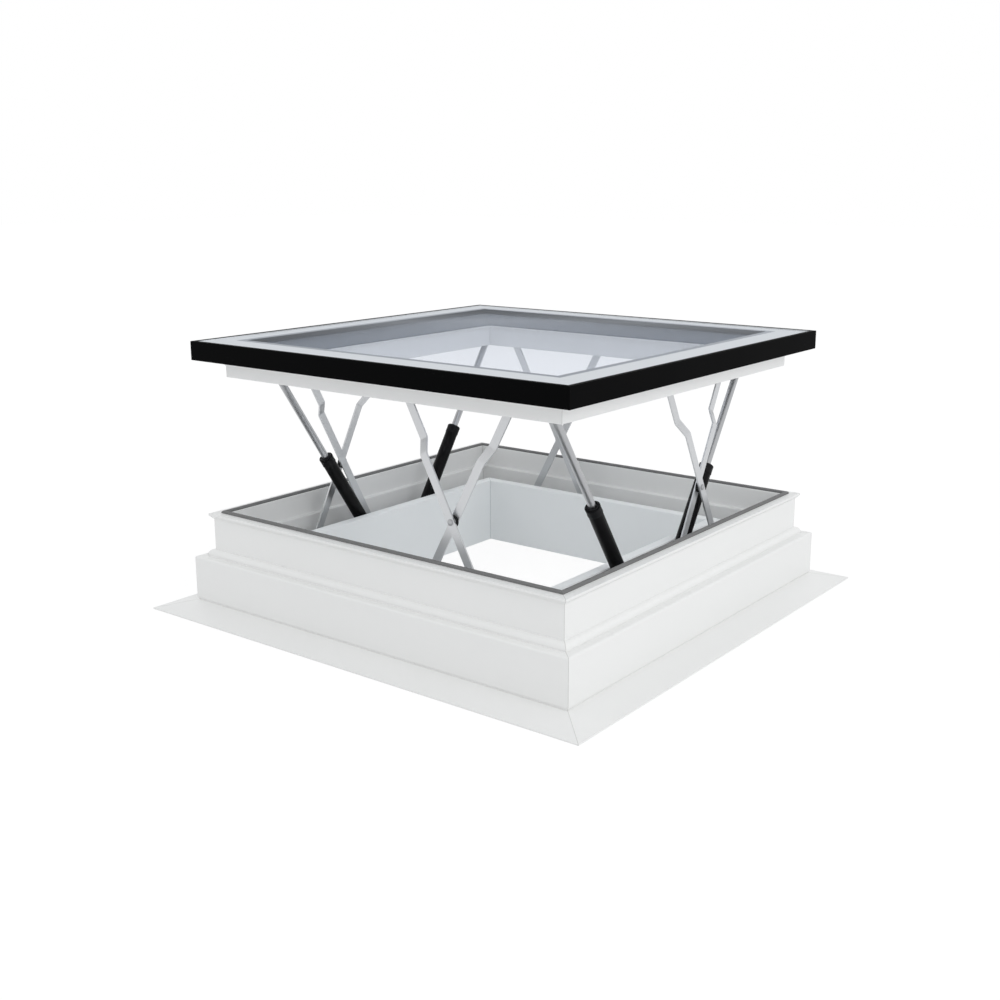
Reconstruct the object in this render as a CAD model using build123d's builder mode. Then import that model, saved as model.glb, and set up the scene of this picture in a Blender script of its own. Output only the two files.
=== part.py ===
from build123d import *
import math
import os

# Smoke vent rooflight, drawn open. Millimetres, +Z up, the roof deck at Z = 0 and the
# centre of the square opening at X = Y = 0. A "half" is a distance from that centre.

# Roof opening and the white lining around it
opening_half = 440.0
lining_thick = 35.0
lining_height = 220.0
lining_round = 4.0

# Kerb profile, from the trough for the arms out to the roofing flange
trough_width = 125.0
trough_floor = 28.0
lower_wall = 93.0
shoulder_width = 16.0
shoulder_height = 225.0
upper_wall = 32.5
kerb_height = 296.0
rain_lip = 11.5
rain_lip_depth = 6.0
kerb_round = 2.0
bead_reach = 17.5
bead_height = 184.0
bead_depth = 16.0
step_height = 164.0
step_round = 6.0
wall_foot = 34.0
wall_undercut = 4.0
flange_reach = 95.0
flange_tip = 4.0
gasket_setback = 3.0
gasket_width = 14.0
gasket_height = 8.0

# Sash, which rises straight up off the gasket
lift = 476.0
seal_gap = 0.3
frame_side_gap = 6.0
frame_inner_wall = 36.0
frame_outer_wall = 55.0
frame_drop = 69.0
channel_depth = 45.0
frame_body = 22.0
frame_step = 3.0
frame_step_height = 34.0
frame_round = 3.0
band_gap = 9.0
band_thick = 8.0
band_drop = 16.0
band_round = 1.5
rim_width = 13.0
rim_rise = 9.0
glass_joint = 2.0
cover_glass_thick = 8.0
border_width = 90.0
border_thick = 1.5
reveal_run = 121.0
reveal_thick = 3.0
pane_thick = 6.0
pane_ledge = 10.0
pane_drop = 4.0

# Folding scissors: an outer and an inner flat bar on each side, crossed at a middle pin
open_angle = 62.0
pivot_inset = 55.0
lower_pivot_rise = 24.0
upper_pivot_drop = 30.0
bar_width = 25.0
bar_thick = 5.0
bar_gap = 9.0
joggle_depth = 25.0
joggle_run = 42.0
joggle_start = 198.0
joggle_bend = 12.0
pin_radius = 5.0
pin_play = 0.3
pin_proud = 2.0
bush_radius = 14.0
bush_play = 0.2

# Slotted rails that the bars turn and slide in
rail_thick = 4.0
rail_setback = 40.0
rail_foot = 30.0
rail_play = 6.0
rail_end = 30.0
lower_rail_height = 60.0
upper_rail_drop = 13.0
upper_rail_flange = 18.0
slot_play = 0.6
slot_spare = 4.0

# Linear actuators, two on the right and two on the left
actuator_gap = 7.5
tube_radius = 21.0
tube_start = 42.0
tube_end_wall = 18.0
rod_radius = 11.0
rod_play = 0.25
rod_overlap = 38.0
actuator_foot = 80.0
head_inset = 46.0
closed_gap = 3.5
foot_pivot_rise = 47.0
eye_radius = 13.0
eye_thick = 12.0
rod_eye_length = 34.0
cheek_thick = 4.0
cheek_gap = 3.0
stub_play = 0.5
bracket_plate = 5.0
bracket_length = 64.0
bracket_margin = 5.0

# Places that follow from the sizes above
side_turns = {"front": 0, "right": 90, "back": 180, "left": 270}
actuator_sides = ("right", "left")
lining_half = opening_half + lining_thick
kerb_inner = lining_half + trough_width
lower_outer = kerb_inner + lower_wall
upper_inner = kerb_inner + shoulder_width
upper_outer = upper_inner + upper_wall
lip_outer = upper_outer + rain_lip
bead_outer = upper_outer + bead_reach
flange_half = lower_outer + flange_reach
gasket_top = kerb_height + gasket_height
seat_height = gasket_top + seal_gap + lift
frame_bottom = seat_height - frame_drop
frame_half = upper_inner - frame_side_gap
channel_inner = opening_half + frame_inner_wall
channel_outer = frame_half - frame_outer_wall
channel_ceiling = frame_bottom + channel_depth
body_top = seat_height + frame_body
band_inner = lip_outer + band_gap
glass_half = band_inner - glass_joint
glass_bottom = body_top + border_thick
glass_top = glass_bottom + cover_glass_thick
band_outer = band_inner + band_thick
band_top = glass_top + rim_rise
border_inner = glass_half - border_width
reveal_inner = border_inner - reveal_run
pane_bottom = seat_height - pane_drop
pane_half = opening_half + pane_ledge
pane_top = pane_bottom + pane_thick
fixed_pivot = opening_half - pivot_inset
lower_pivot = trough_floor + lower_pivot_rise
upper_pivot = channel_ceiling - upper_pivot_drop
arm_length = (upper_pivot - lower_pivot) / math.sin(math.radians(open_angle))
closed_angle = math.degrees(math.asin((upper_pivot - lift - lower_pivot) / arm_length))
slide_open = fixed_pivot - arm_length * math.cos(math.radians(open_angle))
slide_closed = fixed_pivot - arm_length * math.cos(math.radians(closed_angle))
rail_outer = kerb_inner - rail_setback
rail_inner = rail_outer - rail_thick
outer_bar = rail_inner - rail_play - bar_thick / 2
inner_bar = outer_bar - bar_thick - bar_gap
upper_rail_inner = outer_bar - joggle_depth + bar_thick / 2 + rail_play
actuator_plane = lining_half + actuator_gap + tube_radius
foot_pivot = trough_floor + foot_pivot_rise
actuator_head = channel_outer - head_inset
actuator_run = actuator_head - actuator_foot
actuator_rise = upper_pivot - foot_pivot
actuator_open = math.hypot(actuator_run, actuator_rise)
actuator_closed = math.hypot(actuator_run, actuator_rise - lift)
tube_length = actuator_closed - rod_eye_length - closed_gap
stroke = actuator_open - actuator_closed

os.makedirs("parts", exist_ok=True)


# The two level directions of a side: along it, anticlockwise from above, and outward
def side_axes(side):
    turn = side_turns[side]
    along = Vector(1, 0, 0).rotate(Axis.Z, turn)
    outward = Vector(0, -1, 0).rotate(Axis.Z, turn)
    return along, outward


# Plane across a side, for profiles: local X is the distance from the centre, Y the height
def profile_plane(side):
    along, outward = side_axes(side)
    return Plane(origin=(0, 0, 0), x_dir=outward, z_dir=along * -1)


# Upright plane parallel to a side: local X runs along the side, Y is the height
def face_plane(side, distance):
    along, outward = side_axes(side)
    return Plane(origin=outward * distance, x_dir=along, z_dir=outward)


# One side of a square frame: the profile run along it and cut at both mitres
def mitred_side(side, profile, label):
    along, outward = side_axes(side)
    with BuildPart() as piece:
        with BuildSketch(profile_plane(side)):
            add(profile.sketch)
        extrude(amount=flange_half, both=True)
        for mitre_normal in (along - outward, along * -1 - outward):
            mitre = Plane(origin=(0, 0, 0), x_dir=(0, 0, 1), z_dir=mitre_normal)
            split(bisect_by=mitre, keep=Keep.BOTTOM)
    piece.part.label = label
    return piece.part


# Four mitred sides joined into one square ring
def mitred_ring(profile, label):
    sides = [mitred_side(side, profile, label) for side in side_turns]
    with BuildPart() as ring:
        for side in sides:
            add(side)
    ring.part.label = label
    return ring.part


def save(part):
    export_step(part, f"parts/{part.label}.step")


# Kerb profile: trough floor, stepped wall with a bead and a rain lip, sloping flange
with BuildSketch() as kerb_profile:
    with BuildLine():
        Polyline(
            (flange_half, 0),
            (lining_half, 0),
            (lining_half, trough_floor),
            (kerb_inner, trough_floor),
            (kerb_inner, shoulder_height),
            (upper_inner, shoulder_height),
            (upper_inner, kerb_height),
            (lip_outer, kerb_height),
            (lip_outer, kerb_height - rain_lip_depth),
            (upper_outer, kerb_height - rain_lip_depth - rain_lip),
            (upper_outer, bead_height),
        )
        bead = TangentArc(
            (upper_outer, bead_height), (bead_outer, bead_height - bead_depth), tangent=(1, 0)
        )
        Polyline(bead @ 1, (bead_outer, step_height), (lower_outer - step_round, step_height))
        TangentArc(
            (lower_outer - step_round, step_height),
            (lower_outer, step_height - step_round),
            tangent=(1, 0),
        )
        Polyline(
            (lower_outer, step_height - step_round),
            (lower_outer, wall_foot),
            (lower_outer - wall_undercut, wall_foot - 2 * wall_undercut),
            (flange_half, flange_tip),
            (flange_half, 0),
        )
    make_face()
    lip_corners = [v for v in kerb_profile.vertices() if v.X > bead_outer - kerb_round and v.Y > bead_height]
    seat_corners = [v for v in kerb_profile.vertices() if v.X < upper_outer and v.Y > shoulder_height - 1]
    fillet(lip_corners, radius=kerb_round)
    chamfer(seat_corners, length=kerb_round)

for side in side_turns:
    save(mitred_side(side, kerb_profile, f"kerb_{side}"))

# Lining boards that close the inside of the trough
with BuildSketch() as lining_profile:
    with Locations((opening_half, 0)):
        Rectangle(lining_thick, lining_height, align=(Align.MIN, Align.MIN))
    fillet(lining_profile.vertices().group_by(Axis.Y)[-1], radius=lining_round)

for side in side_turns:
    save(mitred_side(side, lining_profile, f"lining_{side}"))

# Rubber gasket on the kerb's top edge: a flat foot under a round bulb
with BuildSketch() as gasket_profile:
    with Locations((upper_inner + gasket_setback, kerb_height)):
        Rectangle(gasket_width, gasket_height / 2, align=(Align.MIN, Align.MIN))
    with BuildLine(Plane((upper_inner + gasket_setback, kerb_height + gasket_height / 2))):
        ThreePointArc((0, 0), (gasket_width / 2, gasket_height / 2), (gasket_width, 0))
        Line((gasket_width, 0), (0, 0))
    make_face()

save(mitred_ring(gasket_profile, "kerb_gasket"))

# Sash frame profile: inner and outer walls around a channel that is open below,
# and a body on top whose outer part comes down on the gasket
with BuildSketch() as frame_profile:
    with BuildLine():
        Polyline(
            (opening_half, frame_bottom),
            (channel_inner, frame_bottom),
            (channel_inner, channel_ceiling),
            (channel_outer, channel_ceiling),
            (channel_outer, frame_bottom),
            (frame_half - frame_step, frame_bottom),
            (frame_half - frame_step, frame_bottom + frame_step_height),
            (frame_half, frame_bottom + frame_step_height + frame_step),
            (frame_half, seat_height),
            (band_inner, seat_height),
            (band_inner, body_top),
            (border_inner, body_top),
            (reveal_inner, pane_top - reveal_thick),
            (pane_half, pane_top - reveal_thick),
            (pane_half, pane_bottom),
            (opening_half, pane_bottom),
            close=True,
        )
    make_face()
    fillet(frame_profile.vertices().group_by(Axis.Y)[0], radius=frame_round)

for side in side_turns:
    save(mitred_side(side, frame_profile, f"sash_frame_{side}"))

# Black edge band around the sash, with a rim on top that holds the glass down
with BuildSketch() as band_profile:
    with BuildLine():
        Polyline(
            (band_inner, seat_height - band_drop),
            (band_outer, seat_height - band_drop),
            (band_outer, band_top),
            (band_outer - rim_width, band_top),
            (band_outer - rim_width, glass_top),
            (band_inner, glass_top),
            close=True,
        )
    make_face()
    fillet(band_profile.vertices().group_by(Axis.X)[-1], radius=band_round)

save(mitred_ring(band_profile, "edge_band"))

# Flat cover glass over the whole sash, and the pale border under its edge
with BuildPart() as cover_glass:
    with BuildSketch(Plane.XY.offset(glass_bottom)):
        Rectangle(2 * glass_half, 2 * glass_half)
    extrude(amount=cover_glass_thick)
cover_glass.part.label = "cover_glass"
save(cover_glass.part)

with BuildPart() as glazing_border:
    with BuildSketch(Plane.XY.offset(body_top)):
        Rectangle(2 * glass_half, 2 * glass_half)
        Rectangle(2 * border_inner, 2 * border_inner, mode=Mode.SUBTRACT)
    extrude(amount=border_thick)
glazing_border.part.label = "glazing_border"
save(glazing_border.part)

# Dark sloping reveal between the cover glass and the inner pane
with BuildSketch() as reveal_profile:
    with BuildLine():
        Polyline(
            (border_inner, body_top),
            (reveal_inner, pane_top - reveal_thick),
            (pane_half, pane_top - reveal_thick),
            (pane_half, pane_top),
            (reveal_inner, pane_top),
            (border_inner - reveal_thick, body_top),
            close=True,
        )
    make_face()

save(mitred_ring(reveal_profile, "glazing_reveal"))

with BuildPart() as inner_glass:
    with BuildSketch(Plane.XY.offset(pane_bottom)):
        Rectangle(2 * pane_half, 2 * pane_half)
    extrude(amount=pane_thick)
inner_glass.part.label = "inner_glass"
save(inner_glass.part)


# Lower rail: an angle on the trough floor with the slot for the inner bar's foot
# and the pivot stud for the outer bar
def lower_rail(side):
    rail_low = slide_closed - rail_end
    rail_length = fixed_pivot + rail_end - rail_low
    with BuildPart() as rail:
        with BuildSketch(face_plane(side, rail_inner)):
            with Locations((rail_low, trough_floor)):
                Rectangle(rail_length, lower_rail_height, align=(Align.MIN, Align.MIN))
        extrude(amount=rail_thick)
        with BuildSketch(face_plane(side, rail_outer)):
            with Locations((rail_low, trough_floor)):
                Rectangle(rail_length, rail_thick, align=(Align.MIN, Align.MIN))
        extrude(amount=rail_foot)
        with BuildSketch(face_plane(side, rail_inner)):
            with Locations(((slide_open + slide_closed) / 2, lower_pivot)):
                SlotCenterToCenter(
                    slide_open - slide_closed + 2 * slot_spare, 2 * (pin_radius + slot_play)
                )
        extrude(amount=rail_thick, mode=Mode.SUBTRACT)
        with BuildSketch(face_plane(side, rail_inner)):
            with Locations((fixed_pivot, lower_pivot)):
                Circle(pin_radius)
        extrude(amount=-(rail_play + bar_thick + pin_proud))
    rail.part.label = f"lower_rail_{side}"
    return rail.part


# Upper rail: an angle under the channel's ceiling with the slot for the outer bar's head
# and the pivot stud for the inner bar
def upper_rail(side):
    rail_low = slide_closed - rail_end
    rail_length = fixed_pivot + rail_end - rail_low
    rail_bottom = upper_pivot - upper_rail_drop
    stud_end = inner_bar - joggle_depth - bar_thick / 2 - pin_proud
    with BuildPart() as rail:
        with BuildSketch(face_plane(side, upper_rail_inner)):
            with Locations((rail_low, rail_bottom)):
                Rectangle(rail_length, channel_ceiling - rail_bottom, align=(Align.MIN, Align.MIN))
        extrude(amount=rail_thick)
        with BuildSketch(face_plane(side, upper_rail_inner)):
            with Locations((rail_low, channel_ceiling)):
                Rectangle(rail_length, rail_thick, align=(Align.MIN, Align.MAX))
        extrude(amount=upper_rail_flange)
        with BuildSketch(face_plane(side, upper_rail_inner)):
            with Locations(((slide_open + slide_closed) / 2, upper_pivot)):
                SlotCenterToCenter(
                    slide_open - slide_closed + 2 * slot_spare, 2 * (pin_radius + slot_play)
                )
        extrude(amount=rail_thick, mode=Mode.SUBTRACT)
        with BuildSketch(face_plane(side, upper_rail_inner)):
            with Locations((fixed_pivot, upper_pivot)):
                Circle(pin_radius)
        extrude(amount=stud_end - upper_rail_inner)
    rail.part.label = f"upper_rail_{side}"
    return rail.part


# A joggled flat bar from one pivot to the other, with round ends
def joggled_bar(side, distance, start, end):
    along, outward = side_axes(side)
    heading = (along * (end[0] - start[0]) + Vector(0, 0, end[1] - start[1])).normalized()
    foot = outward * distance + along * start[0] + Vector(0, 0, start[1])
    edge_plane = Plane(origin=foot, x_dir=heading, z_dir=heading.cross(outward))
    flat_plane = Plane(origin=foot, x_dir=heading, z_dir=outward)
    bend = arm_length / 2 + joggle_start
    with BuildPart() as bar:
        with BuildSketch(edge_plane):
            with BuildLine():
                FilletPolyline(
                    (-bar_width, 0),
                    (bend, 0),
                    (bend + joggle_run, -joggle_depth),
                    (arm_length + bar_width, -joggle_depth),
                    radius=joggle_bend,
                )
            trace(line_width=bar_thick)
        extrude(amount=bar_width / 2, both=True)
        with BuildSketch(flat_plane):
            with Locations((arm_length / 2, 0)):
                SlotCenterToCenter(arm_length, bar_width)
        extrude(amount=joggle_depth + bar_thick, both=True, mode=Mode.INTERSECT)
    return bar.part


# Outer bar: turns on the lower rail's stud, its upper pin slides in the upper rail
def outer_arm(side):
    lower = (fixed_pivot, lower_pivot)
    upper = (slide_open, upper_pivot)
    middle = ((fixed_pivot + slide_open) / 2, (lower_pivot + upper_pivot) / 2)
    bar = joggled_bar(side, outer_bar, lower, upper)
    upper_face = outer_bar - joggle_depth + bar_thick / 2
    pin_end = upper_rail_inner + rail_thick + pin_proud
    with BuildPart() as arm:
        add(bar)
        with BuildSketch(face_plane(side, channel_inner)):
            with Locations(lower, middle):
                Circle(pin_radius + pin_play)
        extrude(amount=trough_width, mode=Mode.SUBTRACT)
        with BuildSketch(face_plane(side, upper_face - bar_thick)):
            with Locations(upper):
                Circle(pin_radius)
        extrude(amount=pin_end - upper_face + bar_thick)
    arm.part.label = f"arm_{side}_outer"
    return arm.part


# Inner bar: carries the bush and the middle pin, and the sliding pin at its foot
def inner_arm(side):
    lower = (slide_open, lower_pivot)
    upper = (fixed_pivot, upper_pivot)
    middle = ((fixed_pivot + slide_open) / 2, (lower_pivot + upper_pivot) / 2)
    bar = joggled_bar(side, inner_bar, lower, upper)
    outer_face = inner_bar + bar_thick / 2
    middle_end = outer_bar + bar_thick / 2 + pin_proud
    foot_end = rail_outer + pin_proud
    with BuildPart() as arm:
        add(bar)
        with BuildSketch(face_plane(side, channel_inner)):
            with Locations(upper):
                Circle(pin_radius + pin_play)
        extrude(amount=trough_width, mode=Mode.SUBTRACT)
        with BuildSketch(face_plane(side, outer_face)):
            with Locations(middle):
                Circle(bush_radius)
        extrude(amount=bar_gap - bush_play)
        for spot, pin_end in ((middle, middle_end), (lower, foot_end)):
            with BuildSketch(face_plane(side, outer_face - bar_thick)):
                with Locations(spot):
                    Circle(pin_radius)
            extrude(amount=pin_end - outer_face + bar_thick)
    arm.part.label = f"arm_{side}_inner"
    return arm.part


for side in side_turns:
    save(lower_rail(side))
    save(upper_rail(side))
    save(outer_arm(side))
    save(inner_arm(side))


# The axis of an actuator, from its foot pivot; way is 1 or -1 along the side
def actuator_axis(side, way):
    along, outward = side_axes(side)
    foot = outward * actuator_plane + along * (way * actuator_foot) + Vector(0, 0, foot_pivot)
    heading = (along * (way * actuator_run) + Vector(0, 0, actuator_rise)).normalized()
    return foot, heading


# Actuator tube: an eye at the foot and a barrel closed at that end, bored for the rod
def actuator_tube(side, way):
    along, outward = side_axes(side)
    foot, heading = actuator_axis(side, way)
    with BuildPart() as tube:
        with BuildSketch(Plane(origin=foot, x_dir=heading, z_dir=heading.cross(outward))):
            with BuildLine():
                Polyline(
                    (tube_start, 0),
                    (tube_start, tube_radius),
                    (tube_length, tube_radius),
                    (tube_length, rod_radius + rod_play),
                    (tube_start + tube_end_wall, rod_radius + rod_play),
                    (tube_start + tube_end_wall, 0),
                    close=True,
                )
            make_face()
        revolve(axis=Axis(foot, heading))
        with BuildSketch(Plane(origin=foot - outward * (eye_thick / 2), x_dir=heading, z_dir=outward)):
            with Locations((tube_start / 2, 0)):
                SlotCenterToCenter(tube_start, 2 * eye_radius)
            Circle(pin_radius + pin_play, mode=Mode.SUBTRACT)
        extrude(amount=eye_thick)
    return tube.part


# Actuator rod: it ends inside the tube, and has an eye with a stub pin at the head
def actuator_rod(side, way):
    along, outward = side_axes(side)
    foot, heading = actuator_axis(side, way)
    head = foot + heading * actuator_open
    rod_length = actuator_open - rod_eye_length + eye_radius - tube_length + rod_overlap
    stub = eye_thick + 2 * (cheek_gap - stub_play)
    with BuildPart() as rod:
        with BuildSketch(Plane(origin=foot + heading * (tube_length - rod_overlap), z_dir=heading)):
            Circle(rod_radius)
        extrude(amount=rod_length)
        with BuildSketch(Plane(origin=head - outward * (eye_thick / 2), x_dir=heading, z_dir=outward)):
            with Locations(((eye_radius - rod_eye_length) / 2, 0)):
                SlotCenterToCenter(rod_eye_length - eye_radius, 2 * eye_radius)
        extrude(amount=eye_thick)
        with BuildSketch(Plane(origin=head - outward * (stub / 2), x_dir=heading, z_dir=outward)):
            Circle(pin_radius)
        extrude(amount=stub)
    return rod.part


# Two-cheek bracket for an actuator's eye, on the trough floor or under the channel's ceiling;
# the cheeks' free corners are cut off
def bracket(side, place, seat, pivot, pinned):
    up = 1 if pivot > seat else -1
    cheek_face = eye_thick / 2 + cheek_gap
    with BuildPart() as clevis:
        with BuildSketch(face_plane(side, actuator_plane - cheek_face - cheek_thick - bracket_margin)):
            with Locations((place, seat + up * bracket_plate / 2)):
                Rectangle(bracket_length, bracket_plate)
        extrude(amount=2 * (cheek_face + cheek_thick + bracket_margin))
        for inner_face in (actuator_plane - cheek_face - cheek_thick, actuator_plane + cheek_face):
            with BuildSketch(face_plane(side, inner_face)):
                with BuildLine():
                    Polyline(
                        (place - eye_radius, seat),
                        (place - eye_radius, pivot),
                        (place - eye_radius / 2, pivot + up * eye_radius),
                        (place + eye_radius / 2, pivot + up * eye_radius),
                        (place + eye_radius, pivot),
                        (place + eye_radius, seat),
                        close=True,
                    )
                make_face()
            extrude(amount=cheek_thick)
        if pinned:
            with BuildSketch(face_plane(side, actuator_plane - cheek_face)):
                with Locations((place, pivot)):
                    Circle(pin_radius)
            extrude(amount=2 * cheek_face)
    return clevis.part


for side in actuator_sides:
    for way, end in ((-1, "a"), (1, "b")):
        tube = actuator_tube(side, way)
        tube.label = f"actuator_tube_{side}_{end}"
        save(tube)
        rod = actuator_rod(side, way)
        rod.label = f"actuator_rod_{side}_{end}"
        save(rod)

feet = []
heads = []
for side in actuator_sides:
    for way in (-1, 1):
        feet.append(bracket(side, way * actuator_foot, trough_floor, foot_pivot, True))
        heads.append(bracket(side, way * actuator_head, channel_ceiling, upper_pivot, False))

with BuildPart() as actuator_feet:
    for clevis in feet:
        add(clevis)
actuator_feet.part.label = "actuator_feet"
save(actuator_feet.part)

with BuildPart() as actuator_heads:
    for clevis in heads:
        add(clevis)
actuator_heads.part.label = "actuator_heads"
save(actuator_heads.part)

lead = open_angle - closed_angle
foot_open = math.degrees(math.atan2(actuator_rise, actuator_run))
foot_closed = math.degrees(math.atan2(actuator_rise - lift, actuator_run))
print(f"overall height {band_top:.1f}, width {2 * flange_half:.1f}, lift {lift:.1f}")
print(f"arm {arm_length:.2f}, open {open_angle:.3f}, closed {closed_angle:.3f}, lead {lead:.3f} deg")
print(f"sliding ends from {slide_open:.2f} to {slide_closed:.2f}")
print(f"actuator {actuator_open:.2f} open, {actuator_closed:.2f} closed, stroke {stroke:.2f}")
print(f"actuator foot from {foot_open:.3f} to {foot_closed:.3f} degrees")
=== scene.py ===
import math
import bpy
from mathutils import Matrix, Vector


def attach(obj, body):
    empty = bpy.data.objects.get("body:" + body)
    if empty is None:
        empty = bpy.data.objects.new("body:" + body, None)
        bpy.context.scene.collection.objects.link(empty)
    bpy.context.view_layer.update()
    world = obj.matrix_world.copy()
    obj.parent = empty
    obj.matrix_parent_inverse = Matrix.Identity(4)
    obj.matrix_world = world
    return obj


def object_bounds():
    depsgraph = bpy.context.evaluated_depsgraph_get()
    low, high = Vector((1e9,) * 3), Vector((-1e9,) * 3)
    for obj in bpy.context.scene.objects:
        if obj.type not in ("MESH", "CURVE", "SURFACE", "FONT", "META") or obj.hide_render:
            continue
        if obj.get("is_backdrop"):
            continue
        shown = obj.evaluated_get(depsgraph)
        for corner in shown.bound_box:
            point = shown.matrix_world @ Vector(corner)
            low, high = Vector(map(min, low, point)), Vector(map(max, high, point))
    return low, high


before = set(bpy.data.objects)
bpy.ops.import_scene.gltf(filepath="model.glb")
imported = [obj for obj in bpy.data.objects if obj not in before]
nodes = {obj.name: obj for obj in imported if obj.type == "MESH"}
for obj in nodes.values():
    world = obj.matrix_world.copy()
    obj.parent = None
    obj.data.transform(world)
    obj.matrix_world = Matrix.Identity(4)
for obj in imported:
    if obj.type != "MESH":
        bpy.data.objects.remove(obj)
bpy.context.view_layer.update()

# Smoke vent rooflight, open. Metres, +Z up, -Y is the side at the left of the picture.
sides = ["front", "right", "back", "left"]
actuatorSides = ["right", "left"]
actuatorEnds = {"right_a": -1, "right_b": 1, "left_a": -1, "left_b": 1}


# Small helpers

edgeLook = {"segments": 2, "bevelAngle": 35, "smoothAngle": 40}  # degrees between two faces
squareOn = 0.9  # a face whose normal's z is past this lies flat
sideOn = 0.1  # and one whose normal's z is below this stands upright


def deselectAll():
    if bpy.context.object and bpy.context.object.mode != "OBJECT":
        bpy.ops.object.mode_set(mode="OBJECT")
    bpy.ops.object.select_all(action="DESELECT")


def pickFaces(obj, wanted):
    # selects the faces for which wanted(face) is true, and leaves edit mode on
    bpy.ops.object.mode_set(mode="EDIT")
    bpy.ops.mesh.select_mode(type="FACE")
    bpy.ops.mesh.select_all(action="DESELECT")
    bpy.ops.object.mode_set(mode="OBJECT")
    for face in obj.data.polygons:
        face.select = wanted(face)
    bpy.ops.object.mode_set(mode="EDIT")


def looksUp(face):
    return face.normal.z > squareOn


def softenEdges(obj, width):
    # puts the place into the mesh, rounds the sharp edges and smooths the curved faces
    deselectAll()
    obj.select_set(True)
    bpy.context.view_layer.objects.active = obj
    bpy.ops.object.transform_apply(location=True, rotation=True, scale=True)
    if width:
        bpy.ops.object.modifier_add(type="BEVEL")
        bevel = obj.modifiers[-1]
        bevel.width = width
        bevel.segments = edgeLook["segments"]
        bevel.angle_limit = math.radians(edgeLook["bevelAngle"])
        bpy.ops.object.modifier_apply(modifier=bevel.name)
    bpy.ops.object.shade_smooth_by_angle(angle=math.radians(edgeLook["smoothAngle"]))


def sideTurn(side):
    return Matrix.Rotation(math.radians(90 * sides.index(side)), 3, "Z")


def sideAxes(side):
    # the direction along a side, and the one straight out of it
    turn = sideTurn(side)
    return turn @ Vector((1, 0, 0)), turn @ Vector((0, -1, 0))


def sidePlace(side, along, outward, height):
    alongAxis, outwardAxis = sideAxes(side)
    return alongAxis * along + outwardAxis * outward + Vector((0, 0, height))


def setOut(source, spots, name, body, material):
    # one copy of source at each spot (place, direction), joined into one piece
    copies = []
    for place, direction in spots:
        copy = source.copy()
        copy.data = source.data.copy()
        bpy.context.collection.objects.link(copy)
        turn = direction.to_track_quat("Z", "Y").to_matrix().to_4x4()
        copy.matrix_world = Matrix.Translation(place) @ turn
        copies.append(copy)
    deselectAll()
    for copy in copies:
        copy.select_set(True)
    bpy.context.view_layer.objects.active = copies[0]
    if len(copies) > 1:
        bpy.ops.object.join()
    piece = bpy.context.object
    bpy.ops.object.transform_apply(location=True, rotation=True, scale=True)
    piece.name = name
    piece.data.materials.clear()
    piece.data.materials.append(material)
    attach(piece, body)


def dropObject(obj):
    bpy.data.objects.remove(obj, do_unlink=True)


# Node groups shared by the materials

def newGroup(name, inputs, outputs):
    group = bpy.data.node_groups.new(name, "ShaderNodeTree")
    for label, kind, value in inputs:
        socket = group.interface.new_socket(label, in_out="INPUT", socket_type=kind)
        socket.default_value = value
    for label, kind in outputs:
        group.interface.new_socket(label, in_out="OUTPUT", socket_type=kind)
    return group, group.nodes.new("NodeGroupInput"), group.nodes.new("NodeGroupOutput")


def mathNode(tree, operation, first, second=None):
    node = tree.nodes.new("ShaderNodeMath")
    node.operation = operation
    for index, value in enumerate((first, second)):
        if value is None:
            continue
        if isinstance(value, (int, float)):
            node.inputs[index].default_value = value
        else:
            tree.links.new(value, node.inputs[index])
    return node.outputs[0]


toneDetail = {"cloud": 4, "grain": 2, "grainInGloss": 0.5}


def makeSurfaceTone():
    # soft cloudy change of tone and gloss with a fine grain for the bump
    group, start, end = newGroup(
        "surfaceTone",
        [
            ("Vector", "NodeSocketVector", (0, 0, 0)),
            ("Color", "NodeSocketColor", (0.8, 0.8, 0.8, 1)),
            ("Tone Spread", "NodeSocketFloat", 0.04),
            ("Cloud Scale", "NodeSocketFloat", 6.0),
            ("Grain Scale", "NodeSocketFloat", 900.0),
            ("Roughness", "NodeSocketFloat", 0.4),
            ("Gloss Spread", "NodeSocketFloat", 0.1),
        ],
        [("Color", "NodeSocketColor"), ("Roughness", "NodeSocketFloat"), ("Height", "NodeSocketFloat")],
    )
    links = group.links
    cloud = group.nodes.new("ShaderNodeTexNoise")
    cloud.inputs["Detail"].default_value = toneDetail["cloud"]
    links.new(start.outputs["Vector"], cloud.inputs["Vector"])
    links.new(start.outputs["Cloud Scale"], cloud.inputs["Scale"])
    grain = group.nodes.new("ShaderNodeTexNoise")
    grain.inputs["Detail"].default_value = toneDetail["grain"]
    links.new(start.outputs["Vector"], grain.inputs["Vector"])
    links.new(start.outputs["Grain Scale"], grain.inputs["Scale"])
    centred = mathNode(group, "SUBTRACT", cloud.outputs["Fac"], 0.5)
    tone = mathNode(group, "ADD", mathNode(group, "MULTIPLY", centred, start.outputs["Tone Spread"]), 1.0)
    scaleColor = group.nodes.new("ShaderNodeVectorMath")
    scaleColor.operation = "SCALE"
    links.new(start.outputs["Color"], scaleColor.inputs[0])
    links.new(tone, scaleColor.inputs["Scale"])
    links.new(scaleColor.outputs[0], end.inputs["Color"])
    grainCentred = mathNode(group, "SUBTRACT", grain.outputs["Fac"], 0.5)
    grainShare = mathNode(group, "MULTIPLY", grainCentred, toneDetail["grainInGloss"])
    glossCloud = mathNode(group, "ADD", centred, grainShare)
    gloss = mathNode(group, "MULTIPLY", glossCloud, start.outputs["Gloss Spread"])
    links.new(mathNode(group, "ADD", start.outputs["Roughness"], gloss), end.inputs["Roughness"])
    links.new(grain.outputs["Fac"], end.inputs["Height"])
    return group


lineCore = 0.4  # the share of the weld's half width that is at full strength


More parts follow.
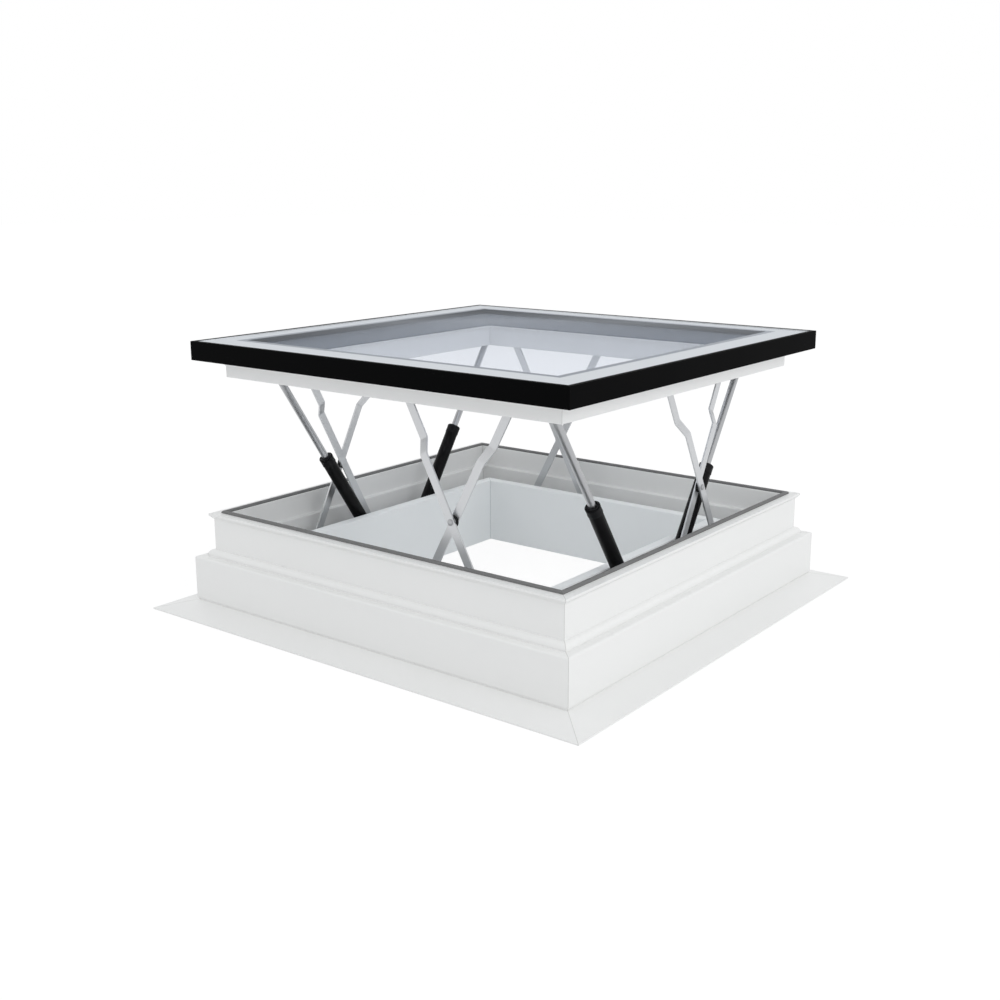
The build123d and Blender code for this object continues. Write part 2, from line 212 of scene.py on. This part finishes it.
def makeMitreLine():
    # mask that is 1 on the two diagonals where the profiles of a square frame are welded
    group, start, end = newGroup(
        "mitreLine",
        [("Vector", "NodeSocketVector", (0, 0, 0)), ("Width", "NodeSocketFloat", 0.001)],
        [("Mask", "NodeSocketFloat")],
    )
    split = group.nodes.new("ShaderNodeSeparateXYZ")
    group.links.new(start.outputs["Vector"], split.inputs[0])
    across = mathNode(group, "ABSOLUTE", split.outputs["X"])
    along = mathNode(group, "ABSOLUTE", split.outputs["Y"])
    offLine = mathNode(group, "ABSOLUTE", mathNode(group, "SUBTRACT", across, along))
    share = mathNode(group, "DIVIDE", offLine, start.outputs["Width"])
    mask = group.nodes.new("ShaderNodeMapRange")
    mask.interpolation_type = "SMOOTHSTEP"
    mask.inputs["From Min"].default_value = lineCore
    mask.inputs["From Max"].default_value = 1.0
    mask.inputs["To Min"].default_value = 1.0
    mask.inputs["To Max"].default_value = 0.0
    group.links.new(share, mask.inputs["Value"])
    group.links.new(mask.outputs["Result"], end.inputs["Mask"])
    return group


surfaceTone = makeSurfaceTone()
mitreLine = makeMitreLine()


# Materials

def startMaterial(name):
    material = bpy.data.materials.new(name)
    material.use_nodes = True
    tree = material.node_tree
    tree.nodes.clear()
    output = tree.nodes.new("ShaderNodeOutputMaterial")
    shader = tree.nodes.new("ShaderNodeBsdfPrincipled")
    tree.links.new(shader.outputs["BSDF"], output.inputs["Surface"])
    place = tree.nodes.new("ShaderNodeTexCoord")
    return material, tree, shader, place.outputs["Object"]


def materialOutput(tree):
    return next(node for node in tree.nodes if node.type == "OUTPUT_MATERIAL")


def addTone(tree, shader, vector, look):
    tone = tree.nodes.new("ShaderNodeGroup")
    tone.node_tree = surfaceTone
    tree.links.new(vector, tone.inputs["Vector"])
    tone.inputs["Color"].default_value = (*look["color"], 1)
    tone.inputs["Tone Spread"].default_value = look["toneSpread"]
    tone.inputs["Cloud Scale"].default_value = look["cloudScale"]
    tone.inputs["Grain Scale"].default_value = look["grainScale"]
    tone.inputs["Roughness"].default_value = look["roughness"]
    tone.inputs["Gloss Spread"].default_value = look["glossSpread"]
    bump = tree.nodes.new("ShaderNodeBump")
    bump.inputs["Strength"].default_value = look["bump"]
    bump.inputs["Distance"].default_value = look["bumpDepth"]
    tree.links.new(tone.outputs["Height"], bump.inputs["Height"])
    tree.links.new(tone.outputs["Color"], shader.inputs["Base Color"])
    tree.links.new(tone.outputs["Roughness"], shader.inputs["Roughness"])
    tree.links.new(bump.outputs["Normal"], shader.inputs["Normal"])
    return tone, bump


def makePlain(name, look):
    material, tree, shader, vector = startMaterial(name)
    addTone(tree, shader, vector, look)
    shader.inputs["Metallic"].default_value = look.get("metallic", 0.0)
    shader.inputs["Specular IOR Level"].default_value = look.get("shine", 0.5)
    return material


def makeWelded(name, look):
    # white profile whose corners show the thin trimmed weld
    material, tree, shader, vector = startMaterial(name)
    tone, bump = addTone(tree, shader, vector, look)
    weld = tree.nodes.new("ShaderNodeGroup")
    weld.node_tree = mitreLine
    weld.inputs["Width"].default_value = look["weldWidth"]
    tree.links.new(vector, weld.inputs["Vector"])
    darken = tree.nodes.new("ShaderNodeMix")
    darken.data_type = "RGBA"
    darken.blend_type = "MULTIPLY"
    darken.inputs["B"].default_value = (*look["weldColor"], 1)
    tree.links.new(weld.outputs["Mask"], darken.inputs["Factor"])
    tree.links.new(tone.outputs["Color"], darken.inputs["A"])
    tree.links.new(darken.outputs["Result"], shader.inputs["Base Color"])
    sunk = mathNode(tree, "MULTIPLY", weld.outputs["Mask"], look["weldDepth"])
    groove = mathNode(tree, "SUBTRACT", tone.outputs["Height"], sunk)
    tree.links.new(groove, bump.inputs["Height"])
    return material


def makeDrawnSteel(name, look, turn):
    # zinc-plated flat bar: streaks drawn along the bar, turned to its heading
    material, tree, shader, vector = startMaterial(name)
    mapping = tree.nodes.new("ShaderNodeMapping")
    mapping.vector_type = "TEXTURE"
    mapping.inputs["Rotation"].default_value = turn
    mapping.inputs["Scale"].default_value = look["streak"]
    tree.links.new(vector, mapping.inputs["Vector"])
    addTone(tree, shader, mapping.outputs["Vector"], look)
    shader.inputs["Metallic"].default_value = look["metallic"]
    return material


def makeGlass(name, look):
    # thin clear sheet: tinted where it is seen through, with a damped mirror on its outer face
    material, tree, shader, vector = startMaterial(name)
    tree.nodes.remove(shader)
    clear = tree.nodes.new("ShaderNodeBsdfTransparent")
    clear.inputs["Color"].default_value = (*look["tint"], 1)
    mirror = tree.nodes.new("ShaderNodeBsdfAnisotropic")
    mirror.inputs["Color"].default_value = (*look["mirrorColor"], 1)
    mirror.inputs["Roughness"].default_value = look["roughness"]
    fresnel = tree.nodes.new("ShaderNodeFresnel")
    fresnel.inputs["IOR"].default_value = look["ior"]
    ripple = tree.nodes.new("ShaderNodeTexNoise")
    ripple.inputs["Scale"].default_value = look["rippleScale"]
    tree.links.new(vector, ripple.inputs["Vector"])
    bump = tree.nodes.new("ShaderNodeBump")
    bump.inputs["Strength"].default_value = look["ripple"]
    bump.inputs["Distance"].default_value = look["rippleDepth"]
    tree.links.new(ripple.outputs["Fac"], bump.inputs["Height"])
    tree.links.new(bump.outputs["Normal"], mirror.inputs["Normal"])
    # only a face that is met from outside mirrors, because rays go straight on through the sheet
    side = tree.nodes.new("ShaderNodeNewGeometry")
    innerFace = mathNode(tree, "MULTIPLY", side.outputs["Backfacing"], look["mirrorShare"])
    outerFace = mathNode(tree, "SUBTRACT", look["mirrorShare"], innerFace)
    share = mathNode(tree, "MULTIPLY", fresnel.outputs["Fac"], outerFace)
    mix = tree.nodes.new("ShaderNodeMixShader")
    tree.links.new(share, mix.inputs["Fac"])
    tree.links.new(clear.outputs[0], mix.inputs[1])
    tree.links.new(mirror.outputs[0], mix.inputs[2])
    tree.links.new(mix.outputs[0], materialOutput(tree).inputs["Surface"])
    return material


kerbLook = {
    "color": (0.84, 0.84, 0.83), "toneSpread": 0.03, "cloudScale": 3.0, "grainScale": 700.0,
    "roughness": 0.36, "glossSpread": 0.12, "bump": 0.12, "bumpDepth": 0.0004,
    "weldWidth": 0.0016, "weldDepth": 3.0, "weldColor": (0.72, 0.72, 0.71),
}
# the sash's PVC is a lighter copy of the kerb's: its lighter colour is painted light, for the light falling
# on the raised sash
sashPaintedLightLook = dict(kerbLook, color=(0.87, 0.87, 0.865), weldWidth=0.0012)
# the lining's colour is lighter and cooler than the kerb's white: painted light, for the cool light inside
# the shaded opening
liningPaintedLightLook = {
    "color": (0.87, 0.89, 0.89), "toneSpread": 0.025, "cloudScale": 4.0, "grainScale": 500.0,
    "roughness": 0.5, "glossSpread": 0.1, "bump": 0.15, "bumpDepth": 0.0004,
    "weldWidth": 0.0012, "weldDepth": 3.0, "weldColor": (0.6, 0.62, 0.63),
}
rubberLook = {
    "color": (0.18, 0.18, 0.18), "toneSpread": 0.2, "cloudScale": 12.0, "grainScale": 1400.0,
    "roughness": 0.65, "glossSpread": 0.15, "bump": 0.3, "bumpDepth": 0.0005, "shine": 0.3,
}
bandLook = {
    "color": (0.0020, 0.0021, 0.0023), "toneSpread": 0.25, "cloudScale": 8.0, "grainScale": 1600.0,
    "roughness": 0.6, "glossSpread": 0.1, "bump": 0.12, "bumpDepth": 0.0003, "shine": 0.02,
}
siliconeLook = dict(bandLook, color=(0.02, 0.02, 0.022), roughness=0.5)
printLook = {
    "color": (0.62, 0.645, 0.665), "toneSpread": 0.02, "cloudScale": 5.0, "grainScale": 900.0,
    "roughness": 0.3, "glossSpread": 0.05, "bump": 0.03, "bumpDepth": 0.0002, "shine": 0.08,
}
lineLook = dict(printLook, color=(0.17, 0.195, 0.235))
revealLook = {
    "color": (0.045, 0.065, 0.095), "toneSpread": 0.06, "cloudScale": 6.0, "grainScale": 900.0,
    "roughness": 0.5, "glossSpread": 0.08, "bump": 0.08, "bumpDepth": 0.0003, "shine": 0.3,
}
steelLook = {
    "color": (0.62, 0.63, 0.645), "toneSpread": 0.16, "cloudScale": 22.0, "grainScale": 420.0,
    "roughness": 0.36, "glossSpread": 0.22, "bump": 0.18, "bumpDepth": 0.0003, "metallic": 0.85,
    "streak": (9.0, 1.0, 1.0),
}
bracketLook = dict(steelLook, toneSpread=0.12, roughness=0.42)
footLook = {
    "color": (0.010, 0.010, 0.011), "toneSpread": 0.25, "cloudScale": 25.0, "grainScale": 900.0,
    "roughness": 0.45, "glossSpread": 0.12, "bump": 0.2, "bumpDepth": 0.0003, "shine": 0.25,
}
fixingLook = dict(steelLook, color=(0.43, 0.437, 0.45), roughness=0.3, toneSpread=0.2, metallic=0.95)
tubeLook = {
    "color": (0.004, 0.004, 0.0045), "toneSpread": 0.2, "cloudScale": 20.0, "grainScale": 1500.0,
    "roughness": 0.4, "glossSpread": 0.1, "bump": 0.12, "bumpDepth": 0.0002, "shine": 0.11,
}
capLook = dict(tubeLook, color=(0.008, 0.008, 0.009), roughness=0.5, shine=0.14)
rodLook = {
    "color": (0.45, 0.457, 0.47), "toneSpread": 0.03, "cloudScale": 30.0, "grainScale": 300.0,
    "roughness": 0.3, "glossSpread": 0.01, "bump": 0.0, "bumpDepth": 0.0001, "metallic": 1.0,
}
coverGlassLook = {
    "tint": (0.984, 0.987, 0.993), "mirrorColor": (0.60, 0.635, 0.69), "mirrorShare": 0.36,
    "roughness": 0.01, "ior": 1.45, "rippleScale": 1.4, "ripple": 0.03, "rippleDepth": 0.001,
}
innerGlassLook = dict(coverGlassLook, tint=(0.975, 0.982, 0.995))

whitePvc = makeWelded("whitePvc", kerbLook)
sashPvc = makeWelded("sashPvc", sashPaintedLightLook)
liningBoard = makeWelded("liningBoard", liningPaintedLightLook)
gasketRubber = makePlain("gasketRubber", rubberLook)
blackBand = makePlain("blackBand", bandLook)
blackSilicone = makePlain("blackSilicone", siliconeLook)
paleEnamel = makePlain("paleEnamel", printLook)
greyEnamel = makePlain("greyEnamel", lineLook)
slateReveal = makePlain("slateReveal", revealLook)
bracketSteel = makePlain("bracketSteel", bracketLook)
fixingSteel = makePlain("fixingSteel", fixingLook)
blackSteel = makePlain("blackSteel", footLook)
tubeBlack = makePlain("tubeBlack", tubeLook)
blackPlastic = makePlain("blackPlastic", capLook)
rodChrome = makePlain("rodChrome", rodLook)
coverGlass = makeGlass("coverGlass", coverGlassLook)
innerGlass = makeGlass("innerGlass", innerGlassLook)
print("materials made")


# The CAD nodes get their finishes

def finishNode(name, material):
    obj = nodes[name]
    obj.data.materials.clear()
    obj.data.materials.append(material)


armAngle = math.radians(62)  # of the bars, from the level
for side in sides:
    finishNode("kerb_" + side, whitePvc)
    finishNode("lining_" + side, liningBoard)
    finishNode("lower_rail_" + side, bracketSteel)
    finishNode("upper_rail_" + side, bracketSteel)
    finishNode("sash_frame_" + side, sashPvc)
    for arm, lean in (("outer", math.pi - armAngle), ("inner", armAngle)):
        turn = sideTurn(side) @ Matrix.Rotation(-lean, 3, "Y")
        barSteel = makeDrawnSteel(f"barSteel_{side}_{arm}", steelLook, turn.to_euler())
        finishNode(f"arm_{side}_{arm}", barSteel)
for end in actuatorEnds:
    finishNode("actuator_tube_" + end, tubeBlack)
    finishNode("actuator_rod_" + end, rodChrome)
finishNode("actuator_feet", blackSteel)
finishNode("actuator_heads", bracketSteel)
finishNode("kerb_gasket", gasketRubber)
finishNode("edge_band", blackBand)
finishNode("glazing_border", slateReveal)
finishNode("glazing_reveal", slateReveal)
finishNode("cover_glass", coverGlass)
finishNode("inner_glass", innerGlass)
print("CAD nodes finished")


# Places on each side: along it, out from the centre, and up

linkage = {
    "fixedAlong": 0.385, "slideAlong": 0.02647, "lowerHeight": 0.052, "upperHeight": 0.7263,
    "outerBarFaces": (0.545, 0.550), "innerBarFaces": (0.531, 0.536),
    "lowerRailFace": 0.560, "upperRailFace": 0.535, "upperBarFace": 0.506,
}
linkage["middleAlong"] = (linkage["fixedAlong"] + linkage["slideAlong"]) / 2
linkage["middleHeight"] = (linkage["lowerHeight"] + linkage["upperHeight"]) / 2
skin = 0.00015  # air between a fixing and what it sits on, so that no faces coincide


# Rivet heads over the ends of the pins

pinHeadLook = {
    "facets": 28, "washerRadius": 0.0095, "washerThick": 0.0011, "headRadius": 0.0074, "shankRise": 0.0013,
    "domeRise": 0.0010, "edge": 0.0003,
    "shoulderInset": 0.25, "shoulderRise": 0.65, "crownInset": 0.4, "crownRise": 0.35,
}


def makePinHead(look):
    deselectAll()
    bpy.ops.mesh.primitive_cylinder_add(
        vertices=look["facets"], radius=look["washerRadius"], depth=look["washerThick"],
        location=(0, 0, look["washerThick"] / 2),
    )
    head = bpy.context.object
    pickFaces(head, looksUp)
    bpy.ops.mesh.inset(thickness=look["washerRadius"] - look["headRadius"], depth=0)
    bpy.ops.mesh.extrude_region_move(TRANSFORM_OT_translate={"value": (0, 0, look["shankRise"])})
    for inset, rise in (("shoulderInset", "shoulderRise"), ("crownInset", "crownRise")):
        bpy.ops.mesh.inset(thickness=look["headRadius"] * look[inset], depth=look["domeRise"] * look[rise])
    softenEdges(head, look["edge"])
    return head


def headSpot(side, along, face, height, way=1):
    # a head on the face of a bar or rail, looking out of its side, or into the opening where way is -1
    out = sideAxes(side)[1]
    return sidePlace(side, linkage[along], face + way * skin, linkage[height]), way * out


pinHead = makePinHead(pinHeadLook)
innerFace, outerFace = linkage["outerBarFaces"]
lowerFace, upperFace = linkage["lowerRailFace"], linkage["upperRailFace"]
for side in sides:
    lowerStuds = [
        headSpot(side, "fixedAlong", innerFace, "lowerHeight", -1),
        headSpot(side, "fixedAlong", lowerFace, "lowerHeight"),
    ]
    upperStuds = [
        headSpot(side, "fixedAlong", linkage["upperBarFace"], "upperHeight", -1),
        headSpot(side, "fixedAlong", upperFace, "upperHeight"),
    ]
    slidePin = [headSpot(side, "slideAlong", upperFace, "upperHeight")]
    crossPins = [
        headSpot(side, "middleAlong", outerFace, "middleHeight"),
        headSpot(side, "slideAlong", lowerFace, "lowerHeight"),
    ]
    setOut(pinHead, lowerStuds, f"lowerStudHeads_{side}", "base", fixingSteel)
    setOut(pinHead, upperStuds, f"upperStudHeads_{side}", "sash", fixingSteel)
    setOut(pinHead, slidePin, f"slidePinHead_{side}", f"arm_{side}_outer", fixingSteel)
    setOut(pinHead, crossPins, f"crossPinHeads_{side}", f"arm_{side}_inner", fixingSteel)
print("rivet heads made")


# Black spacer rings between the crossed bars: a real spacer, whose black and size also stand in for the
# shade in the gap between the bars (painted shade)

ringFacets = 40
spacerAndShadeLook = {
    "outer": 0.0175, "inner": 0.01405, "thick": 0.0083,
    "groove": 0.0006, "grooveLand": 0.0024, "edge": 0.0005,
}


def makeRing(look):
    # a disc whose two caps are inset, opened and bridged, with a shallow groove round the outside
    deselectAll()
    bpy.ops.mesh.primitive_cylinder_add(
        vertices=ringFacets, radius=look["outer"], depth=look["thick"], location=(0, 0, look["thick"] / 2)
    )
    ring = bpy.context.object
    pickFaces(ring, lambda face: abs(face.normal.z) > squareOn)
    bpy.ops.mesh.inset(thickness=look["outer"] - look["inner"], depth=0)
    bpy.ops.mesh.delete(type="FACE")
    bpy.ops.mesh.select_mode(type="EDGE")
    bpy.ops.mesh.select_all(action="DESELECT")
    bpy.ops.mesh.select_non_manifold()
    bpy.ops.mesh.bridge_edge_loops()
    bpy.ops.mesh.select_all(action="SELECT")
    bpy.ops.mesh.normals_make_consistent(inside=False)
    rimRadius = (look["outer"] + look["inner"]) / 2
    pickFaces(ring, lambda face: abs(face.normal.z) < sideOn and face.center.xy.length > rimRadius)
    if look["groove"]:
        bpy.ops.mesh.inset(thickness=look["grooveLand"], depth=-look["groove"])
    softenEdges(ring, look["edge"])
    return ring


spacerAndShadeRing = makeRing(spacerAndShadeLook)
for side in sides:
    spot = headSpot(side, "middleAlong", linkage["innerBarFaces"][1], "middleHeight")
    setOut(spacerAndShadeRing, [spot], f"spacerAndShadeRing_{side}", f"arm_{side}_inner", blackPlastic)
print("spacer rings made")


# Actuators: end caps and wiper seal on each tube, pin heads on the brackets

actuator = {
    "footAlong": 0.080, "footHeight": 0.075, "headAlong": 0.509, "plane": 0.5035, "barrelStart": 0.042,
    "tubeEnd": 0.42593, "cheekFace": 0.013, "plateTop": 0.033, "plateUnder": 0.7513, "boltAlong": 0.0225,
}
frontCapLook = {
    "outer": 0.0224, "inner": 0.02105, "thick": 0.026, "groove": 0.0005, "grooveLand": 0.009, "edge": 0.0006,
}
footCapLook = dict(frontCapLook, thick=0.014, grooveLand=0.004)
wiperLook = {"outer": 0.0195, "inner": 0.0114, "thick": 0.0021, "groove": 0, "grooveLand": 0, "edge": 0.0006}


def actuatorAxis(end):
    side, way = end[:-2], actuatorEnds[end]
    foot = sidePlace(side, way * actuator["footAlong"], actuator["plane"], actuator["footHeight"])
    head = sidePlace(side, way * actuator["headAlong"], actuator["plane"], linkage["upperHeight"])
    return foot, (head - foot).normalized()


frontCap = makeRing(frontCapLook)
footCap = makeRing(footCapLook)
wiper = makeRing(wiperLook)
for end in actuatorEnds:
    foot, heading = actuatorAxis(end)
    for ring, name, start in (
        (frontCap, "frontCap_", actuator["tubeEnd"] - frontCapLook["thick"] - skin),
        (footCap, "footCap_", actuator["barrelStart"] + skin),
        (wiper, "wiper_", actuator["tubeEnd"] + skin),
    ):
        setOut(ring, [(foot + heading * start, heading)], name + end, "actuator_tube_" + end, blackPlastic)

for side in actuatorSides:
    out = sideAxes(side)[1]
    feet, heads = [], []
    for way in (-1, 1):
        for cheek in (-1, 1):
            reach = actuator["plane"] + cheek * (actuator["cheekFace"] + skin)
            footPlace = sidePlace(side, way * actuator["footAlong"], reach, actuator["footHeight"])
            headPlace = sidePlace(side, way * actuator["headAlong"], reach, linkage["upperHeight"])
            feet.append((footPlace, out * cheek))
            heads.append((headPlace, out * cheek))
    setOut(pinHead, feet, f"footPinHeads_{side}", "base", fixingSteel)
    setOut(pinHead, heads, f"headPinHeads_{side}", "sash", fixingSteel)
print("actuator fittings made")


# Hexagon bolts that hold the rails and the brackets

boltLook = {
    "washerFacets": 24, "washerRadius": 0.0062, "washerThick": 0.001, "washerSlope": 0.3,
    "headRadius": 0.0052, "headThick": 0.0034, "headSlope": 0.5, "chamfer": 0.0007, "edge": 0.00025,
}


def makeHexBolt(look):
    deselectAll()
    bpy.ops.mesh.primitive_cylinder_add(
        vertices=look["washerFacets"], radius=look["washerRadius"], depth=look["washerThick"],
        location=(0, 0, look["washerThick"] / 2),
    )
    washer = bpy.context.object
    pickFaces(washer, looksUp)
    bpy.ops.mesh.inset(thickness=look["chamfer"], depth=look["chamfer"] * look["washerSlope"])
    deselectAll()
    bpy.ops.mesh.primitive_cylinder_add(
        vertices=6, radius=look["headRadius"], depth=look["headThick"],
        location=(0, 0, look["washerThick"] + look["headThick"] / 2),
    )
    head = bpy.context.object
    pickFaces(head, looksUp)
    bpy.ops.mesh.inset(thickness=look["chamfer"], depth=look["chamfer"] * look["headSlope"])
    deselectAll()
    washer.select_set(True)
    head.select_set(True)
    bpy.context.view_layer.objects.active = washer
    bpy.ops.object.join()
    softenEdges(washer, look["edge"])
    return washer


hexBolt = makeHexBolt(boltLook)
railBolts = {
    "alongs": (-0.335, -0.115, 0.105, 0.345), "footOut": 0.577, "footTop": 0.032,
    "flangeOut": 0.5425, "flangeUnder": 0.7523,
}
up = Vector((0, 0, 1))


def standing(side, along, outward, top):
    return sidePlace(side, along, outward, top + skin), up


def hanging(side, along, outward, under):
    return sidePlace(side, along, outward, under - skin), -up


for side in sides:
    low, high = [], []
    for along in railBolts["alongs"]:
        low.append(standing(side, along, railBolts["footOut"], railBolts["footTop"]))
        high.append(hanging(side, along, railBolts["flangeOut"], railBolts["flangeUnder"]))
    if side in actuatorSides:
        for way in (-1, 1):
            for step in (-1, 1):
                footBolt = way * actuator["footAlong"] + step * actuator["boltAlong"]
                headBolt = way * actuator["headAlong"] + step * actuator["boltAlong"]
                low.append(standing(side, footBolt, actuator["plane"], actuator["plateTop"]))
                high.append(hanging(side, headBolt, actuator["plane"], actuator["plateUnder"]))
    setOut(hexBolt, low, f"lowerBolts_{side}", "base", fixingSteel)
    setOut(hexBolt, high, f"upperBolts_{side}", "sash", fixingSteel)
print("bolts made")


# Glazing: the outer sheet of the laminated cover glass, flush with the band's rim, the pale
# border and grey line printed under its face, the black joint round it, and the spacer below

sheetLook = {"outer": 0.6620, "low": 0.81195, "high": 0.82045, "edge": 0.0006}
paleLook = {"outer": 0.6614, "inner": 0.5840, "low": 0.82015, "high": 0.82030}
greyLineLook = {"outer": 0.5838, "inner": 0.5620, "low": 0.82015, "high": 0.82030}
jointLook = {"outer": 0.6639, "inner": 0.6621, "low": 0.81190, "high": 0.82040, "edge": 0.0003}
spacerBandLook = {"outer": 0.6645, "inner": 0.5768, "low": 0.80392, "high": 0.80412}


def makeSquareSheet(look, name):
    # a plane drawn at its size, opened in the middle where it is a ring, and extruded up
    deselectAll()
    bpy.ops.mesh.primitive_plane_add(size=2 * look["outer"], location=(0, 0, look["low"]))
    sheet = bpy.context.object
    pickFaces(sheet, lambda face: True)
    if "inner" in look:
        bpy.ops.mesh.inset(thickness=look["outer"] - look["inner"], depth=0)
        bpy.ops.mesh.delete(type="FACE")
    bpy.ops.mesh.select_all(action="SELECT")
    bpy.ops.mesh.extrude_region_move(TRANSFORM_OT_translate={"value": (0, 0, look["high"] - look["low"])})
    bpy.ops.mesh.select_all(action="SELECT")
    bpy.ops.mesh.normals_make_consistent(inside=False)
    softenEdges(sheet, look.get("edge", 0))
    sheet.name = name
    return sheet


for name, look, material in (
    ("coverSheet", sheetLook, coverGlass),
    ("paleBorder", paleLook, paleEnamel),
    ("greyLine", greyLineLook, greyEnamel),
    ("glassJoint", jointLook, blackSilicone),
    ("spacerBand", spacerBandLook, slateReveal),
):
    piece = makeSquareSheet(look, name)
    piece.data.materials.append(material)
    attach(piece, "sash")
print("glazing pieces made")

for source in (pinHead, spacerAndShadeRing, frontCap, footCap, wiper, hexBolt):
    dropObject(source)


# Floor, lamps and camera

stageLook = {
    "floorSize": 60.0, "floorDrop": 0.0005, "floorColor": (0.86, 0.86, 0.86), "floorRoughness": 0.9,
    "floorGlow": 0.80, "floorGlowStrength": 1.08,
    "worldColor": (0.97, 0.985, 1.0), "worldStrength": 0.85,
    "keyPlace": (5.6, -1.2, 3.6), "keySize": 3.5, "keyPower": 85.0,
    "fillPlace": (-4.5, -4.0, 3.0), "fillSize": 4.0, "fillPower": 25.0,
    "lampAim": (0, 0, 0.4), "clearBounces": 32,
}


def seenDirectly(tree):
    # 1 for rays that show the background: from the camera, through glass, and in metal and glass
    path = tree.nodes.new("ShaderNodeLightPath")
    camera, through, mirrored = [
        path.outputs[ray] for ray in ("Is Camera Ray", "Is Transmission Ray", "Is Glossy Ray")
    ]
    return mathNode(tree, "MAXIMUM", mathNode(tree, "MAXIMUM", camera, through), mirrored)


def makeFloor(look):
    deselectAll()
    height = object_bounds()[0][2] - look["floorDrop"]
    bpy.ops.mesh.primitive_plane_add(size=look["floorSize"], location=(0, 0, height))
    floor = bpy.context.object
    floor.name = "floor"
    material, tree, shader, _ = startMaterial("floorPale")
    shader.inputs["Base Color"].default_value = (*look["floorColor"], 1)
    shader.inputs["Roughness"].default_value = look["floorRoughness"]
    shader.inputs["Specular IOR Level"].default_value = 0.0
    glow = tree.nodes.new("ShaderNodeEmission")
    glow.inputs["Strength"].default_value = look["floorGlowStrength"]
    share = mathNode(tree, "MULTIPLY", seenDirectly(tree), look["floorGlow"])
    mix = tree.nodes.new("ShaderNodeMixShader")
    tree.links.new(share, mix.inputs["Fac"])
    tree.links.new(shader.outputs[0], mix.inputs[1])
    tree.links.new(glow.outputs[0], mix.inputs[2])
    tree.links.new(mix.outputs[0], materialOutput(tree).inputs["Surface"])
    floor.data.materials.append(material)
    floor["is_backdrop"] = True


def makeWorld(look):
    world = bpy.data.worlds.new("studio")
    bpy.context.scene.world = world
    world.use_nodes = True
    tree = world.node_tree
    tree.nodes.clear()
    output = tree.nodes.new("ShaderNodeOutputWorld")
    shown = tree.nodes.new("ShaderNodeBackground")
    shown.inputs["Color"].default_value = (1, 1, 1, 1)
    lit = tree.nodes.new("ShaderNodeBackground")
    lit.inputs["Color"].default_value = (*look["worldColor"], 1)
    lit.inputs["Strength"].default_value = look["worldStrength"]
    mix = tree.nodes.new("ShaderNodeMixShader")
    tree.links.new(seenDirectly(tree), mix.inputs["Fac"])
    tree.links.new(lit.outputs[0], mix.inputs[1])
    tree.links.new(shown.outputs[0], mix.inputs[2])
    tree.links.new(mix.outputs[0], output.inputs["Surface"])


def makeLamp(name, place, size, power):
    lamp = bpy.data.lights.new(name, "AREA")
    lamp.size = size
    lamp.energy = power
    obj = bpy.data.objects.new(name, lamp)
    bpy.context.collection.objects.link(obj)
    obj.location = place
    aim = Vector(stageLook["lampAim"]) - Vector(place)
    obj.rotation_euler = aim.to_track_quat("-Z", "Y").to_euler()
    obj.visible_glossy = False  # metal and glass show the plain background, not the lamps


cameraLook = {
    "azimuth": 37.2418, "elevation": 13.2376, "distance": 3.906, "aimHeight": 0.3948,
    "sensor": 36.0, "lens": 45.19, "shiftX": -0.01361, "shiftY": -0.02775,
}


def makeCamera(look):
    camera = bpy.data.cameras.new("camera")
    camera.sensor_width = look["sensor"]
    camera.lens = look["lens"]
    camera.shift_x = look["shiftX"]
    camera.shift_y = look["shiftY"]
    obj = bpy.data.objects.new("camera", camera)
    bpy.context.collection.objects.link(obj)
    around, above = math.radians(look["azimuth"]), math.radians(look["elevation"])
    back = Vector((math.sin(around) * math.cos(above), -math.cos(around) * math.cos(above), math.sin(above)))
    obj.location = Vector((0, 0, look["aimHeight"])) + back * look["distance"]
    obj.rotation_euler = (-back).to_track_quat("-Z", "Y").to_euler()
    bpy.context.scene.camera = obj


makeFloor(stageLook)
makeWorld(stageLook)
makeLamp("keyLamp", stageLook["keyPlace"], stageLook["keySize"], stageLook["keyPower"])
makeLamp("fillLamp", stageLook["fillPlace"], stageLook["fillSize"], stageLook["fillPower"])
makeCamera(cameraLook)
bpy.context.scene.view_settings.view_transform = "Standard"
# three sheets of glass are seen through and lit through
bpy.context.scene.cycles.transparent_max_bounces = stageLook["clearBounces"]
print("stage made")
